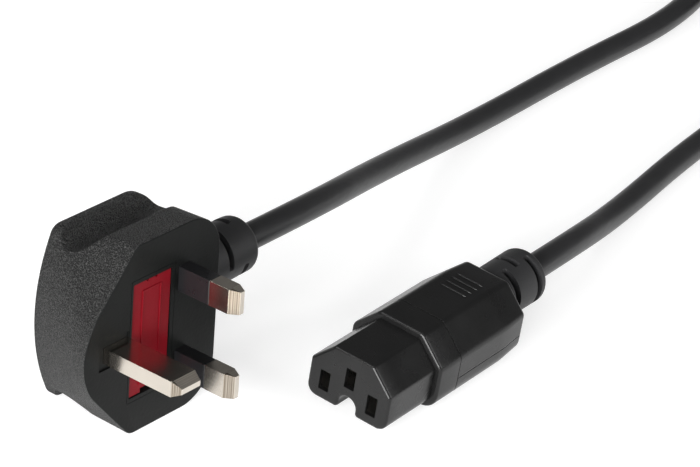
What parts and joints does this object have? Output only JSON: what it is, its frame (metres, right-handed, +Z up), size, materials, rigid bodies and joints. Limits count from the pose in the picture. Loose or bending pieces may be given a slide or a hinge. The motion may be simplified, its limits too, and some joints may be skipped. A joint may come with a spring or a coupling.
{
  "type": "three pin plug",
  "caption": "Moulded British mains plug with sleeved pins, pull-out fuse carrier and strain relief, on a black cord that ends in a notched appliance connector.",
  "frame": {"origin": "middle of the front band of the plug's lower side, on the surface that the plug lies on", "axes": "+X the way the cord leaves the plug, +Z up from the resting side, pins towards -Y"},
  "size_m": [0.4297, 0.106, 0.0495],
  "materials": {
    "housing": "fine moulded texture, smooth on the pin face",
    "inner_plastic": "plain moulded",
    "relief": "satin",
    "pin_metal": "nickel plated brass, satin",
    "sleeve": "satin",
    "carrier_red": "satin",
    "ceramic": "glazed ceramic",
    "cap_metal": "nickel plated",
    "strip_brass": "bright strip",
    "cord_sheath": "satin",
    "core_brown": "satin",
    "core_blue": "satin",
    "core_green_yellow": "satin",
    "connector_plastic": "satin"
  },
  "bodies": {
    "lead": {"plug_body": "housing", "pin_bridge": "inner_plastic", "inner_cover": "inner_plastic", "strain_relief": "relief", "earth_pin": "pin_metal", "line_pin": "pin_metal", "neutral_pin": "pin_metal", "line_pin_sleeve": "sleeve", "neutral_pin_sleeve": "sleeve", "line_fuse_clip": "strip_brass", "supply_fuse_clip": "strip_brass", "neutral_terminal": "strip_brass", "earth_terminal": "strip_brass", "plug_sheath_end": "cord_sheath", "live_core": "core_brown", "neutral_core": "core_blue", "earth_core": "core_green_yellow", "cord_from_plug": "cord_sheath", "cord_coil": "cord_sheath", "cord_to_connector": "cord_sheath", "connector_front": "connector_plastic", "connector_body": "housing", "connector_strain_relief": "relief", "line_contact": "strip_brass", "neutral_contact": "strip_brass", "earth_contact": "strip_brass", "connector_live_core": "core_brown", "connector_neutral_core": "core_blue", "connector_earth_core": "core_green_yellow", "connector_sheath_end": "cord_sheath"},
    "carrier": {"fuse_carrier": "carrier_red", "fuse_tube": "ceramic", "fuse_cap_line": "cap_metal", "fuse_cap_supply": "cap_metal"}
  },
  "joints": [
    {"name": "carrier_slide", "type": "slide", "parent": "lead", "child": "carrier", "axis": [0, -0.995, 0.0995], "range_m": [0, 0.008]}
  ]
}
